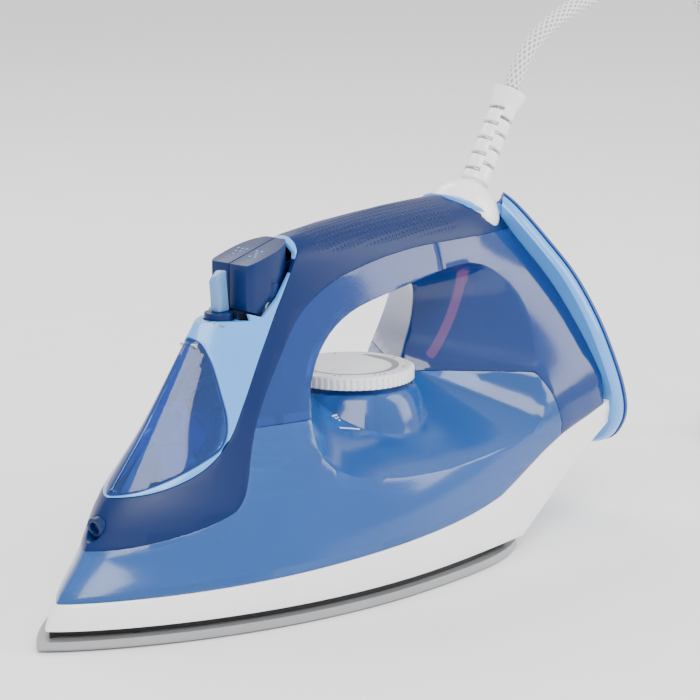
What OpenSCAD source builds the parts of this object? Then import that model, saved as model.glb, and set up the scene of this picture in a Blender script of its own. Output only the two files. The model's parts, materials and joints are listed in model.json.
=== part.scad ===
// Steam iron with a see-through water tank, standing flat on its soleplate.
// Frame: +Z up, the tip points to -X, the heel to +X, and the iron is symmetric about Y = 0.

/* [Body] */
// Length of the soleplate from its tip to its rear edge
sole_l = 242; // [225:1:255]
// Width of the soleplate
sole_w = 119; // [105:1:125]
// Thickness of the soleplate
sole_t = 4; // [3:0.5:6]
// Overall length from the tip to the heel
body_l = 296; // [280:1:305]
// Height of the top of the grip above the ironing face
grip_top = 143; // [135:1:150]
// Lean of the heel face, from the vertical
heel_lean = 18; // [12:1:22]
// Wall thickness of the moulded shells
wall = 2.4; // [1.8:0.2:3]

/* [Steam] */
// Diameter of the steam outlets in the soleplate
steam_hole_d = 3; // [2:0.5:5]
// Stroke of the spray and steam buttons
button_stroke = 4; // [2:0.5:5]
// Lift of the dosing needle between the steam lever's two stops
needle_lift = 2; // [1:0.5:3]

/* [Dial] */
// Diameter of the temperature dial
dial_d = 52; // [44:1:56]
// Thickness of the temperature dial
dial_t = 5.5; // [4:0.5:8]
// Number of grip ribs round the dial
dial_ribs = 60; // [24:6:72]

/* [Cord] */
// Diameter of the braided mains cord
cord_d = 7.4; // [6:0.2:8]
// Lean of the cord guard, back from the vertical
guard_lean = 33; // [20:1:40]
// Length of the cord guard beyond the ball
guard_l = 43; // [30:1:55]
// Radius of the ball that carries the cord guard
ball_r = 17; // [15:0.5:18]

/* [Hidden] */

heel_x = body_l - 145;          // rearmost point of the heel, at its bottom edge
tank_top = 72;                  // height of the tank's flat roof
heel_z = 30;                    // height of that bottom edge
heel_k = tan(heel_lean);        // run of the heel face for each millimetre of rise
band_t = 9;                     // depth of the light band round the heel
skirt_z = 7;                    // underside of the skirt
under_x = 76;                   // where the skirt's underside starts to rise to the heel
under_k = 0.6;                  // rise of that underside
dial_x = 29;                    // axis of the temperature dial
dial_z = 74;                    // underside of the temperature dial
lever_x = -48;                  // axis of the steam lever
shelf_z = 112;                  // top of the shelf that the lever stands on
button_x = -28;                 // axis of the two pumps
pump_y = 7;                     // pumps' distance from the middle
ball_x = 98;                    // centre of the cord ball
ball_z = 131;
ball_lean = 13;                 // lean of the collar round it
gap = 0.3;                      // gap between neighbouring curved covers
ring_n = 20;                    // points along one side of a level

// Height, then the value there: the outer form is lofted through these levels.
front_levels = [[0, -145], [7, -140.5], [16, -135], [30, -122.5], [46, -113], [75, -88],
    [105, -65], [120, -53], [130, -43], [138.5, -12], [141, 15], [grip_top, 45]];
middle_levels = [[0, 12], [30, 20], [60, 45], [90, 60], [118, 65], [128, 86], [grip_top, 92]];
width_levels = [[0, 57.5], [16, 58], [30, 57.5], [45, 54.5], [60, 47], [75, 39], [90, 34],
    [105, 29], [118, 24], [128, 21], [135, 17], [140, 11], [grip_top, 2]];
heel_levels = [[0, 48], [30, 50], [46, 51.5], [52, 54], [60, 53.5], [73, 50], [88, 44],
    [105, 35], [124, 20], [136, 10.5], [grip_top, 2]];
bluntness_levels = [[0, 1.7], [30, 1.55], [60, 1.35], [110, 1.3], [130, 1.1], [grip_top, 1]];

// Side views of the lines between the covers, as X and Z.
skirt_line = curve([[-150, 15], [-135, 16.2], [-80, 18], [-36, 20], [26, 23.6], [54, 27],
    [66, 30.5], [96, 42], [131, 53.5], [170, 66]]);
handle_line = curve([[-150, 33], [-120, 33.6], [-100, 36.5], [-78, 42.5], [-68, 49],
    [-57, 66], [-45, 83], [-33, 98], [-22, 110], [-8, 118.5], [8, 123.5], [34, 127.5],
    [64, 128.5], [130, 127]]);
panel_line = curve([[-130, 50], [-108, 51.5], [-93, 54], [-77, 60], [-64, 69], [-54, 81],
    [-42, 98], [-30, 114], [-18, 129], [-12, 136], [-9, 150]]);
door_line = curve([[-130, 49.5], [-106, 52.5], [-93, 56], [-77, 62], [-67, 67], [-62, 75],
    [-61, 86], [-61, 98], [-64, 106], [-78, 112]]);
opening_side = curve([[30, tank_top], [0, 73.5], [-5, 84], [0, 96], [12, 104], [34, 108], [57, 110.5],
    [67, 107], [67, 95], [63, 84], [56, 74], [30, tank_top]], 3);
// Half the heel's outline: distance from the middle, and height above its bottom edge.
heel_half = [[34, 0], [44, 3], [51, 9], [56, 18], [57, 30], [54.5, 46], [50, 62], [42, 79],
    [31, 93], [18, 107], [8, 113.4], [3, 115]];
opening_flare = 2.2;            // growth of the hand opening towards the iron's sides
route = [[131.9, 183.2], [137.1, 191.2], [143.5, 198.7], [152, 205], [162, 210.2], [174, 214.8],
    [188, 219], [204, 223], [222, 226], [240, 227], [256, 223.5], [270, 215], [281, 202], [289, 186],
    [293, 168], [294.5, 146], [294.5, 120], [294.5, 94], [294.5, 68], [295, 50], [298.5, 34],
    [306, 21.5], [315.5, 14], [323.5, 11.6]];
coil_x = 326.5;                   // centre of the stored coil
coil_y = -40;
coil_turn_r = 40;               // radius at the middle of its turns
coil_rows = 3;                  // turns side by side

neck_x = -72;                   // axis of the filler's pipe into the tank
neck_r = 7;                     // its outer radius
seat_r = 4;                     // outer radius of the steam valve's seat
sole_screws = [[-80, 0], [58, 36], [58, -36]];
block_top = 12;                 // top of the cast heating block
cover_top = 13.2;               // top of the steam chamber's cover

function pick(levels, z) = lookup(z, levels);
function front_x(z) = pick(front_levels, z);
function heel_face_x(z) = heel_x - (z - heel_z) * heel_k;
function half_width(x, z) =
    let(xf = front_x(z), xm = pick(middle_levels, z), w = pick(width_levels, z),
        xr = heel_face_x(z) - band_t,
        s = min(1, max(0, (x - xm) / (xr - xm))))
    x < xm ? w * pow(max(0, 1 - pow((xm - x) / (xm - xf), 2)), pick(bluntness_levels, z) / 2)
           : w + (pick(heel_levels, z) - w) * s * s * (3 - 2 * s);

// A smooth line through a few points.
function spline(a, b, c, d, t) = 0.5 * (2 * b + (c - a) * t + (2 * a - 5 * b + 4 * c - d) * t * t
    + (3 * b - a - 3 * c + d) * t * t * t);
function curve(p, n = 3) = [for (i = [0:len(p) - 2], k = [0:n - 1])
    spline(p[max(i - 1, 0)], p[i], p[i + 1], p[min(i + 2, len(p) - 1)], k / n), p[len(p) - 1]];
function above(line) = concat(line, [[line[len(line) - 1][0], 230], [line[0][0], 230]]);
function below(line) = concat(line, [[line[len(line) - 1][0], -20], [line[0][0], -20]]);
function lift(line, dz) = [for (p = line) [p[0], p[1] + dz]];

// Triangles between stacked rings of equal length, with both ends closed.
module stack_rings(rings) {
    n = len(rings[0]);
    m = len(rings);
    sides = [for (k = [0:m - 2], i = [0:n - 1]) let(j = (i + 1) % n)
        each [[k * n + i, (k + 1) * n + i, k * n + j], [k * n + j, (k + 1) * n + i, (k + 1) * n + j]]];
    polyhedron([for (r = rings) each r],
        concat(sides, [[for (i = [0:n - 1]) i], [for (i = [n - 1:-1:0]) (m - 1) * n + i]]));
}

// The iron's outer form, drawn in by `inset` for the inside of a shell.
levels = [0, 7, 15, 23, 31, 40, 50, 60, 70, 80, 90, 100, 110, 118, 125, 131, 136, 140, 142.2, grip_top];
function level_ring(z, inset) =
    let(xf = front_x(z) + inset * 1.3, xr = heel_face_x(z) + 20,
        xs = [for (i = [0:ring_n]) xf + (xr - xf) * (1 - cos(90 * i / ring_n))])
    concat([for (x = xs) [x, -max(half_width(x, z) - inset, 0.02), z]],
           [for (i = [ring_n:-1:0]) [xs[i], max(half_width(xs[i], z) - inset, 0.02), z]]);
module form(inset = 0) {
    stack_rings([for (z = levels) level_ring(z - (z > 100 ? inset * (z - 100) / 43 : 0), inset)]);
}

// A closed surface of many small faces, kept whole.
module moulded() resize([0, 0, 0]) children();

// A side view run through the iron's width.
module side(points, w = 180) rotate([90, 0, 0]) linear_extrude(w, center = true) polygon(points);
module side_at(points, y0, y1) translate([0, y1, 0]) rotate([90, 0, 0]) linear_extrude(y1 - y0) polygon(points);
module ahead_of_heel(d) {
    z_low = -20;
    z_high = 230;
    side([[-200, z_low], [heel_face_x(z_low) - d, z_low], [heel_face_x(z_high) - d, z_high], [-200, z_high]]);
}
// Everything above the skirt's underside; the inside of the skirt is open below.
module above_underside() side([[-200, skirt_z], [under_x, skirt_z],
    [260, skirt_z + (260 - under_x) * under_k], [260, 230], [-200, 230]]);
module skirt_room() side([[-200, -20], [under_x - wall, -20], [under_x - wall, skirt_z + wall * 0.7],
    [260, skirt_z + wall * 1.2 + (260 - under_x) * under_k], [260, 230], [-200, 230]]);

// The hand opening, which widens towards both sides.
module opening(grow = 0) {
    for (s = [-1, 1]) hull() {
        opening_slice(0, 1, grow);
        opening_slice(s * 56, opening_flare, grow);
    }
}
module opening_slice(y, k, grow) {
    translate([31, y, 90 - (k - 1) * 5]) rotate([90, 0, 0]) linear_extrude(0.02, center = true)
        offset(delta = grow) scale(k) translate([-31, -90]) polygon(opening_side);
}
module along_cord_axis() translate([ball_x, 0, ball_z]) rotate([0, guard_lean, 0]) children();
module along_neck() translate([-83, 0, 80]) rotate([0, -50, 0]) children();

// Soleplate, heating and steam chamber
function sole_half(s) = let(c = (0.65 - s) / 0.65, e = (s - 0.65) / 0.35)
    sole_w / 2 * (s < 0.65 ? pow(max(0, 1 - c * c), 0.85) : pow(max(0, 1 - pow(e, 3)), 1 / 3));
function sole_outline(inset = 0) =
    let(n = 36, s = [for (i = [0:n]) (1 - cos(180 * i / n)) / 2], l = sole_l - 2.4 * inset)
    concat([for (v = s) [-145 + 1.6 * inset + v * l, max(sole_half(v) - inset, 0.3)]],
           [for (i = [n:-1:0]) [-145 + 1.6 * inset + s[i] * l, -max(sole_half(s[i]) - inset, 0.3)]]);
module plate(inset, z0, z1) translate([0, 0, z0]) linear_extrude(z1 - z0) polygon(sole_outline(inset));

module soleplate() {
    color("darkgray") difference() {
        plate(0, 0, sole_t);
        for (s = [-1, 1], i = [0:9]) let(x = -112 + i * 17)
            translate([x, s * sole_half((x + 145) / sole_l) * 0.68, -1])
                cylinder(d = steam_hole_d, h = sole_t + 2, $fn = 24);
        for (x = [-122, -108, -94]) translate([x, 0, -1]) cylinder(d = steam_hole_d, h = sole_t + 2, $fn = 24);
        for (p = sole_screws) translate([p[0], p[1], sole_t - 2.5])
            cylinder(r = 2.05, h = 3, $fn = 32);
    }
}
module sole_gasket() color("dimgray") difference() {
    plate(4, sole_t, skirt_z);
    plate(8, sole_t - 1, skirt_z + 2);
}
module block_plate(inset, z0, z1) intersection() {
    plate(inset, z0, z1);
    translate([-200, -100, 0]) cube([200 + under_x - 6, 200, 100]);
}
module heating_block() color("silver") difference() {
    block_plate(9, sole_t, block_top);
    plate(43, 8, block_top + 1);
    element_path(3.52);
    for (p = sole_screws) translate([p[0], p[1], 0]) cylinder(r = 2.5, h = 20, $fn = 32);
}
module element_path(r) {
    bend = 24;
    front = -38;
    back = 68;
    translate([front, 0, block_top]) {
        for (s = [-1, 1]) translate([0, s * bend, 0]) rotate([0, 90, 0])
            cylinder(r = r, h = back - front, $fn = 32);
        rotate([0, 0, 90]) rotate_extrude(angle = 180, $fn = 64) translate([bend, 0]) circle(r, $fn = 32);
    }
}
module heating_element() color("dimgray") element_path(3.5);
module chamber_cover() color("lightgray") difference() {
    block_plate(41, block_top, cover_top);
    translate([-30, 0, 10]) cylinder(r = 3, h = 20, $fn = 32);
    element_path(3.6);
    translate([sole_screws[0][0], 0, 10]) cylinder(r = 4.4, h = 10, $fn = 32);
}
module thermostat() color("sienna") {
    translate([dial_x, 0, cover_top]) cylinder(r = 13, h = 3, $fn = 48);
    translate([dial_x - 18, -4, cover_top + 3]) cube([36, 8, 1.2]);
}
module thermal_fuse() color("gold") translate([56, 0, cover_top + 3]) rotate([90, 0, 0])
    cylinder(r = 3, h = 24, center = true, $fn = 32);

// Skirt, tank and housings
module skirt() color("white") moulded() difference() {
    intersection() {
        form();
        side(below(skirt_line));
        above_underside();
        ahead_of_heel(band_t + gap);
    }
    intersection() {
        form(wall);
        skirt_room();
        ahead_of_heel(band_t + gap + wall);
    }
}
module skirt_floor() color("gainsboro") moulded() difference() {
    intersection() {
        form(wall + gap);
        side(below(lift(skirt_line, -gap)));
        side(above(lift(skirt_line, -1.6)));
        ahead_of_heel(band_t + wall + 2 * gap);
    }
    translate([dial_x, 0, 0]) cylinder(r = 8, h = 100, $fn = 48);
    translate([lever_x, 0, 0]) cylinder(r = seat_r, h = 100, $fn = 32);
}
module tank_shape() {
    difference() {
        intersection() {
            form();
            side(above(lift(skirt_line, gap / 2)));
            side(below(lift(handle_line, -gap / 2)));
            side(tank_side);
        }
        opening();
    }
    translate([dial_x, 0, 50]) cylinder(r1 = 33, r2 = 26, h = tank_top - 50, $fn = 48);
}
module tank_room() difference() {
    intersection() {
        form(wall);
        side(above(lift(skirt_line, gap / 2 + wall)));
        side(below(lift(handle_line, -gap / 2 - wall)));
        side([[-200, 0], [106 - wall, 0], [102 - wall, 47.5], [-200, 47.5]]);
    }
    translate([dial_x, 0, 0]) cylinder(r = 10.5, h = 100, $fn = 48);
    opening(wall);
}
tank_side = [[-200, 0], [106, 0], [104, 40], [99, 62], [93, tank_top], [-200, tank_top]];
module water_tank() color([0.45, 0.62, 0.85, 0.6]) moulded() difference() {
    tank_shape();
    tank_room();
    translate([dial_x, 0, 0]) cylinder(r = 8, h = 100, $fn = 48);
    translate([lever_x, 0, 0]) cylinder(r = seat_r, h = 100, $fn = 32);
    translate([neck_x, 0, 38]) cylinder(r = neck_r, h = 40, $fn = 48);
}
module filler_neck() color("lightsteelblue") difference() {
    union() {
        along_neck() translate([0, 0, -23]) cylinder(r = neck_r + 1, h = 12, $fn = 48);
        translate([neck_x, 0, 40]) cylinder(r = neck_r - 0.02, h = 26, $fn = 48);
    }
    along_neck() translate([0, 0, -20]) cylinder(r = neck_r - 0.6, h = 20, $fn = 48);
    translate([neck_x, 0, 30]) cylinder(r = neck_r - 1.4, h = 34, $fn = 48);
}
module valve_seat() color("ivory") translate([lever_x, 0, cover_top]) difference() {
    cylinder(r = seat_r, h = 11, $fn = 32);
    translate([0, 0, 2]) cylinder(r = 1.56, h = 10, $fn = 32);
    translate([0, 0, -1]) cylinder(r = 0.8, h = 5, $fn = 24);
}
module rear_housing() color([0.3, 0.45, 0.68, 0.6]) moulded() difference() {
    housing_shape(0);
    housing_shape(wall);
    socket_space();
}
module housing_shape(d) difference() {
    intersection() {
        form(d);
        side(above(lift(skirt_line, gap / 2 + d)));
        side(below(lift(handle_line, -gap / 2 - d)));
        ahead_of_heel(band_t + gap + d);
    }
    translate([gap + d, 0, gap + d]) side(tank_side);
    side([[-200, 50], [58 + gap + d, 50], [58 + gap + d, 150], [-200, 150]]);
    opening(d);
}
module handle_inner() color([0.45, 0.65, 0.88, 0.6]) moulded() difference() {
    inner_shape(0);
    inner_shape(wall);
    for (s = [-1, 1]) translate([button_x, s * pump_y, tank_top + 3]) cylinder(r = 5.8, h = 60, $fn = 40);
    translate([button_x, -pump_y, 60]) cylinder(r = 2, h = 30, $fn = 24);
    translate([lever_x, 0, 60]) cylinder(r = 3.2, h = 40, $fn = 32);
    spray_path(2.4);
}
module inner_shape(d) difference() {
    intersection() {
        form(d);
        side(below(lift(handle_line, -gap / 2 - d)));
        side([[-200, tank_top + gap + d], [10 - d, tank_top + gap + d], [10 - d, 98 + d], [58 - d, 98 + d],
            [58 - d, 150], [-200, 150]]);
    }
    opening(d);
}

// Handle, panel, nozzle and door
module recess() side([[-80, shelf_z], [-42.2, shelf_z - 1.6], [-42.2, 160], [-80, 160]]);
button_side = [[-42.4, 160], [-42.4, 113], [-37, 111.2], [-29, 117.4], [-18.8, 128], [-14.9, 133], [-14.9, 160]];
button_room = [[-42.6, 160], [-42.6, 109], [-36, 106], [-28, 113], [-12, 128], [-12, 160]];
module cap_shell() difference() {
    form();
    form(wall);
}
module handle_shell() color("#004c8b") moulded() difference() {
    intersection() {
        cap_shell();
        side(above(handle_line));
        ahead_of_heel(band_t + gap);
    }
    side(above(panel_line));
    intersection() {
        form(1.2);
        side(button_room);
    }
    socket_space();
    translate([-124, 0, 39.5]) rotate([0, 80, 0]) cylinder(r = 4.2, h = 16, $fn = 40);
}
module front_panel() color("#92bbe0") moulded() {
    difference() {
        intersection() {
            cap_shell();
            side(above(lift(panel_line, gap)));
            side(above(handle_line));
        }
        side(above(door_line));
        side(button_side);
        recess();
        intersection() {
            form(1.2);
            side(button_room);
        }
    }
    difference() {
        intersection() {
            form(0.4);
            side([[-70, shelf_z - 3], [-43, shelf_z - 4.6], [-43, shelf_z - 1.8], [-70, shelf_z - 0.2]]);
        }
        translate([lever_x, 0, 60]) cylinder(r = 6, h = 100, $fn = 48);
    }
}
module filling_door() color([0.35, 0.53, 0.78, 0.7]) moulded() difference() {
    intersection() {
        form(0.2);
        side(above(lift(shift(door_line, -gap), gap)));
        side([[-200, 0], [-30, 0], [-62.5, 104.6], [-200, 104.6]]);
    }
    form(1.9);
}
function shift(line, dx) = [for (p = line) [p[0] + dx, p[1]]];
module door_seal() color("lightgray") along_neck() translate([0, 0, -11]) difference() {
    cylinder(r = neck_r + 1, h = 2, $fn = 48);
    translate([0, 0, -1]) cylinder(r = neck_r - 0.6, h = 4, $fn = 48);
}
module door_pin() color("silver") translate([-64.4, 0, 103]) rotate([90, 0, 0])
    cylinder(r = 0.8, h = 8, center = true, $fn = 32);
module spray_nozzle() color("#12305c") translate([-124, 0, 39.5]) rotate([0, 80, 0]) difference() {
    translate([0, 0, 9]) cylinder(r = 4, h = 9, $fn = 40);
    translate([0, 0, 5]) cylinder(r = 2.4, h = 6, $fn = 32);
    cylinder(r = 0.5, h = 20, $fn = 24);
}

// Steam lever, needle, buttons and pumps
module lever_drum() color("#16325f") translate([lever_x, 0, shelf_z - 6]) {
    cylinder(r = 5.6, h = 7.5, $fn = 48);
}
module steam_lever() color("#6f9fd0") moulded() translate([lever_x, 0, shelf_z + 1.5]) hull() {
    translate([-2.2, -2.4, 0]) cube([6, 4.8, 1]);
    translate([-3.4, -2, 12]) cube([6.4, 4, 1.2]);
    translate([0.4, -2, 15]) cube([2.6, 4, 1]);
}
module lever_post() color("lightgray") translate([lever_x, 0, 80]) cylinder(r = 2.5, h = shelf_z - 86, $fn = 32);
module dosing_needle() color("lightgray") translate([lever_x, 0, cover_top + 2.4 + needle_lift / 2]) cylinder(r = 1.5, h = 61, $fn = 32);

module button(s) {
    intersection() {
        side(button_edge);
        translate([0, 0, 100]) linear_extrude(50) scale([1, s]) polygon(button_plan);
    }
    translate([button_x, s * pump_y, 94]) cylinder(r = 1.8, h = 30, $fn = 32);
    translate([button_x, s * pump_y, 116]) cylinder(r = 4.6, h = 7, $fn = 32);
}
button_edge = [[-42, 131.5], [-42, 113.8], [-37, 112], [-29.5, 118], [-19.4, 128.2], [-15.6, 133], [-15.6, 138.2]];
button_plan = [[-42, 0.2], [-42, 9.2], [-41, 10], [-38, 10.8], [-28, 11], [-21, 9.4], [-17, 6.6], [-15.6, 4.8], [-15.6, 0.2]];
module spray_button() color("#00458a") button(1);
module steam_button() color("#00458a") button(-1);
module pump(s) translate([button_x, s * pump_y, 80]) difference() {
    cylinder(r = 5.4, h = 20, $fn = 40);
    translate([0, 0, 3]) cylinder(r = 1.86, h = 20, $fn = 32);
    translate([0, 0, 8]) cylinder(r = 4.2, h = button_stroke + 1, $fn = 32);
}
module spray_pump() color("whitesmoke") pump(1);
module steam_pump() color("whitesmoke") pump(-1);
module spring(s) translate([button_x, s * pump_y, 100.2]) difference() {
    cylinder(r = 4, h = 15.6, $fn = 40);
    translate([0, 0, -1]) cylinder(r = 3, h = 18, $fn = 40);
}
module spray_spring() color("silver") spring(1);
module steam_spring() color("silver") spring(-1);

// Hoses and leads: one tube of n sides along a list of points.
function unit(v) = v / norm(v);
function along(p, i) = unit(p[min(i + 1, len(p) - 1)] - p[max(i - 1, 0)]);
module tube(points, r, n = 8) stack_rings([for (i = [0:len(points) - 1])
    let(t = along(points, i), u = unit(cross(t, [0.02, 1, 0.01])), v = cross(t, u))
    [for (k = [0:n - 1]) points[i] + r * (cos(360 * k / n) * u + sin(360 * k / n) * v)]]);
function curve3(p, n = 4) = [for (i = [0:len(p) - 2], k = [0:n - 1])
    spline(p[max(i - 1, 0)], p[i], p[i + 1], p[min(i + 2, len(p) - 1)], k / n), p[len(p) - 1]];
module spray_path(r) tube(curve3([[-32, 7, 84], [-42, 9, 85], [-62, 11, 76], [-84, 10, 56], [-98, 5, 46],
    [-105, 0, 42.9]], 3), r);
module spray_hose() color("gainsboro") spray_path(1.6);
module steam_hose() color("gainsboro") translate([button_x, -pump_y, tank_top + 0.2]) cylinder(r = 1.6, h = 7.8, $fn = 24);

// Dial
module dial_bush() color("lightsteelblue") translate([dial_x, 0, 0]) difference() {
    translate([0, 0, 22]) cylinder(r = 7.6, h = tank_top + 0.6 - 22, $fn = 48);
    cylinder(r = 3.05, h = 100, $fn = 48);
}
module dial_spindle() color("silver") translate([dial_x, 0, 18]) cylinder(r = 3, h = dial_z + 3 - 18, $fn = 48);
module temperature_dial() color("whitesmoke") translate([dial_x, 0, dial_z]) difference() {
    union() {
        cylinder(r = dial_d / 2 - 0.7, h = dial_t - 0.6, $fn = 96);
        translate([0, 0, dial_t - 0.6]) cylinder(r1 = dial_d / 2 - 0.7, r2 = dial_d / 2 - 2.6, h = 0.6, $fn = 96);
        for (i = [0:dial_ribs - 1]) rotate([0, 0, i * 360 / dial_ribs])
            translate([dial_d / 2 - 1.4, -0.8, 0.5]) cube([1.3, 1.6, dial_t - 1.4]);
    }
    translate([0, 0, dial_t - 1.2]) cylinder(r = dial_d / 2 - 7, h = 3, $fn = 96);
    translate([0, 0, -1]) cylinder(r = 3, h = 4, $fn = 48);
}
module dial_plate() color("gray") translate([dial_x, 0, dial_z + dial_t - 1.2])
    cylinder(r = dial_d / 2 - 7, h = 1.6, $fn = 96);

// Heel
function heel_at(z, d = 0) = [heel_face_x(z) - d, z];
module heel_slab(d0, d1) side([heel_at(10, d0), heel_at(10, d1), heel_at(170, d1), heel_at(170, d0)]);
module heel_form(grow) {
    outline = heel_curve();
    translate([heel_x, 0, heel_z]) multmatrix([[1, 0, -heel_k, 0], [0, 1, 0, 0], [0, 0, 1, 0], [0, 0, 0, 1]])
        rotate([90, 0, -90]) linear_extrude(band_t) offset(delta = grow) polygon(outline);
}
function heel_curve() =
    let(right = curve(heel_half, 3), n = len(right))
    concat(right, [for (i = [n - 1:-1:0]) [-right[i][0], right[i][1]]]);
module heel_rim() color("#3c62a5") moulded() difference() {
    intersection() {
        heel_form(0);
        heel_slab(0, 2);
    }
    heel_form(-3);
    socket_space();
}
module heel_band() color("#92bbe0") moulded() difference() {
    intersection() {
        heel_form(-0.8);
        heel_slab(2, band_t);
    }
    intersection() {
        heel_form(-0.8 - wall);
        heel_slab(-1, band_t - wall);
    }
    socket_space();
}
module heel_pad() color("#3c62a5") moulded() difference() {
    intersection() {
        heel_form(-3);
        heel_slab(0.4, 2);
    }
    socket_space();
}

// Inside the rear housing
module terminal_block() color("ivory") translate([106, -13, 53]) cube([10, 26, 12]);
module cord_clamp() color("dimgray") translate([100, -8, 98]) cube([7, 16, 7]);
module power_leads() color("firebrick") for (y = [-6, 0, 6])
    tube([[103.5, y * 0.7, 97.8], [104, y, 92], [107, y, 84], [110, y, 74], [111, y, 65.2]], 1.3);
module light_guide() color([1, 0.6, 0.5, 0.8]) tube(curve3([[92, -6, 106], [89, -6, 98], [83, -6, 88], [76, -6, 80], [72, -6, 77]], 3), 2);
module indicator_lamp() color("red") translate([92.6, -6, 106.3]) cylinder(r = 2.5, h = 8, $fn = 32);

// Cord and its fittings
module along_collar() translate([ball_x, 0, ball_z]) rotate([0, ball_lean, 0]) children();
module cord_socket() color("#cfe0f2") along_collar() difference() {
    translate([0, 0, 4.4]) cylinder(r = ball_r, h = 4.6, $fn = 64);
    sphere(r = ball_r + 0.06, $fn = 72);
}
module socket_space() {
    along_collar() translate([0, 0, 4.2]) cylinder(r = ball_r + 0.2, h = 30, $fn = 48);
    translate([ball_x, 0, ball_z]) sphere(r = ball_r + 0.5, $fn = 40);
}
module cord_ball() color("white") along_cord_axis() difference() {
    sphere(r = ball_r, $fn = 72);
    translate([0, 0, 12]) cylinder(r = 5.05, h = 20, $fn = 48);
    translate([0, 0, -20]) cylinder(r = 4, h = 35, $fn = 48);
}
module cord_guard() color("whitesmoke") along_cord_axis() difference() {
    foot = ball_r + 0.4;
    union() {
        translate([0, 0, 12.1]) cylinder(r = 5, h = 6, $fn = 48);
        translate([0, 0, foot]) cylinder(r1 = 6.4, r2 = 5.7, h = guard_l - 6, $fn = 64);
        translate([0, 0, foot + guard_l - 6]) cylinder(r1 = 5.7, r2 = 7.9, h = 5, $fn = 64);
        translate([0, 0, foot + guard_l - 1]) cylinder(r = 7.9, h = 1, $fn = 64);
    }
    cylinder(r = cord_d / 2 + 0.6, h = guard_l + 30, $fn = 48);
    for (i = [0:8], s = [0, 1]) translate([0, 0, foot + 3 + i * 3.7]) rotate([0, 0, i * 90 + s * 180])
        translate([2, -3.9, 0]) cube([8, 7.8, 1.6]);
}
mouth = ball_r + 0.4 + guard_l;
module cord_neck() color("white") along_cord_axis() translate([0, 0, mouth - 12])
    cylinder(r = cord_d / 2, h = 13.5, $fn = 32);
module cord() color("white") tube(curve3([for (p = route) [p[0], 0, p[1]]], 3), cord_d / 2, 10);
module cord_coil() color("white") translate([coil_x, coil_y, 0]) rotate_extrude($fn = 96)
    translate([coil_turn_r - coil_rows * cord_d / 2, 0.2]) square([coil_rows * cord_d, cord_d * 1.87]);
module cord_tie() color("lightgray") translate([coil_x + coil_turn_r, coil_y, 7.2]) difference() {
    cube([coil_rows * cord_d + 2.4, 9, 14.4], center = true);
    cube([coil_rows * cord_d - 0.2, 10, 12], center = true);
}
plug_x = coil_x - 40;           // where the plug's moulded body starts
plug_z = 0.2 + cord_d * 1.87 + 18;
module along_plug() translate([plug_x, coil_y - coil_turn_r, plug_z]) rotate([0, -90, 0]) children();
module plug_body() color("white") along_plug() {
    translate([0, 0, -6]) cylinder(r = 18, h = 22, $fn = 64);
    translate([0, 0, -26]) cylinder(r1 = 8, r2 = 16, h = 20, $fn = 64);
    translate([0, 0, -40]) cylinder(r1 = 4.6, r2 = 7, h = 14, $fn = 48);
}
module plug_pins() color("silver") for (s = [-1, 1])
    along_plug() translate([0, s * 9.5, 16]) cylinder(r = 2.4, h = 19, $fn = 32);

// Screws
module sole_screws_set() for (p = sole_screws) translate([p[0], p[1], 1.6]) {
    cylinder(r = 2, h = block_top - 1.6, $fn = 32);
    translate([0, 0, block_top - 1.6]) cylinder(r = 3.6, h = 2, $fn = 32);
}
module housing_screws() color("silver") sole_screws_set();

soleplate();
sole_gasket();
heating_block();
heating_element();
chamber_cover();
thermostat();
thermal_fuse();
skirt();
skirt_floor();
water_tank();
filler_neck();
valve_seat();
rear_housing();
handle_inner();
handle_shell();
front_panel();
spray_nozzle();
filling_door();
door_seal();
door_pin();
steam_lever();
lever_drum();
lever_post();
dosing_needle();
spray_button();
steam_button();
spray_pump();
steam_pump();
spray_spring();
steam_spring();
spray_hose();
steam_hose();
dial_bush();
temperature_dial();
dial_plate();
dial_spindle();
light_guide();
indicator_lamp();
heel_band();
heel_rim();
heel_pad();
terminal_block();
cord_clamp();
power_leads();
cord_socket();
cord_ball();
cord_guard();
cord_neck();
cord();
cord_coil();
cord_tie();
plug_body();
plug_pins();
housing_screws();
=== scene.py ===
# %% [markdown]
# A steam iron, piece by piece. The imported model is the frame: it gives every piece its place,
# and this script gives each one the shape and finish that the eye sees. All lengths are worked
# out in millimetres of the real iron, and turned to metres where vertices are placed.

import json
import math

import bmesh
import bpy
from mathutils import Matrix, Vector


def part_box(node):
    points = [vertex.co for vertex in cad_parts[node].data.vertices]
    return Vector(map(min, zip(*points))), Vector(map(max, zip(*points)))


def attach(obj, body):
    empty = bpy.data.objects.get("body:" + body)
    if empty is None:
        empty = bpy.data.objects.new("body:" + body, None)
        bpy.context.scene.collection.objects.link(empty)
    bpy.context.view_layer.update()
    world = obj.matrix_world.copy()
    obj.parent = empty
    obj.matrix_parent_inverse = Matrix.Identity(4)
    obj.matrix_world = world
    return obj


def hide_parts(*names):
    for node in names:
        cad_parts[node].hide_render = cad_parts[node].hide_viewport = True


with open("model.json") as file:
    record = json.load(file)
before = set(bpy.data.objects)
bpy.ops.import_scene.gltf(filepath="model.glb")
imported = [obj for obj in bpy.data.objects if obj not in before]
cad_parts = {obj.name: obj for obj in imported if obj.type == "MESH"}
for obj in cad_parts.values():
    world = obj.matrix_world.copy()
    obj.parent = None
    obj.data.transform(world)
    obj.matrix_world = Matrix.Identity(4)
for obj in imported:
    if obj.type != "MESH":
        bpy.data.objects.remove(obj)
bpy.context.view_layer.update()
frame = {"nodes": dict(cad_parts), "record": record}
MM = 0.001

# %% [markdown]
# The camera comes first, with a long lens, because a product picture is taken from far away:
# it looks slightly down on the iron's front left quarter.

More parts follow.
